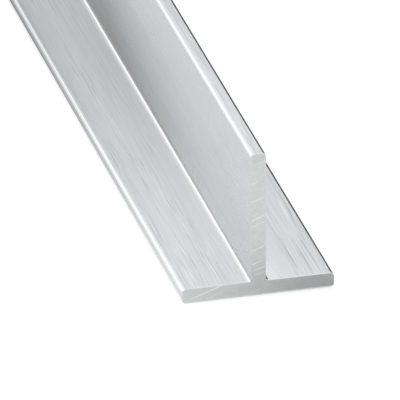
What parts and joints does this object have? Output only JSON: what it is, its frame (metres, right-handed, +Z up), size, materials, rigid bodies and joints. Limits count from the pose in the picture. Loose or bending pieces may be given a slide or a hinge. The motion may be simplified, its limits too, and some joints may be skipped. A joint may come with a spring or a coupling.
{
  "type": "aluminium t profile",
  "caption": "Equal-leg T profile in mill-finish extruded aluminium, a straight stock length with rounded edges, used as a joint cover, edge trim or stiffener.",
  "frame": {"origin": "on the back of the flange, under the middle of the bar", "axes": "+Z up along the web, +Y along the bar's length, +X across the flange"},
  "size_m": [0.02, 1, 0.02],
  "materials": {
    "mill_aluminium": "bare mill finish with fine lengthwise die lines, ends sawn square"
  },
  "bodies": {
    "root": {"t_profile": "mill_aluminium"}
  },
  "joints": []
}
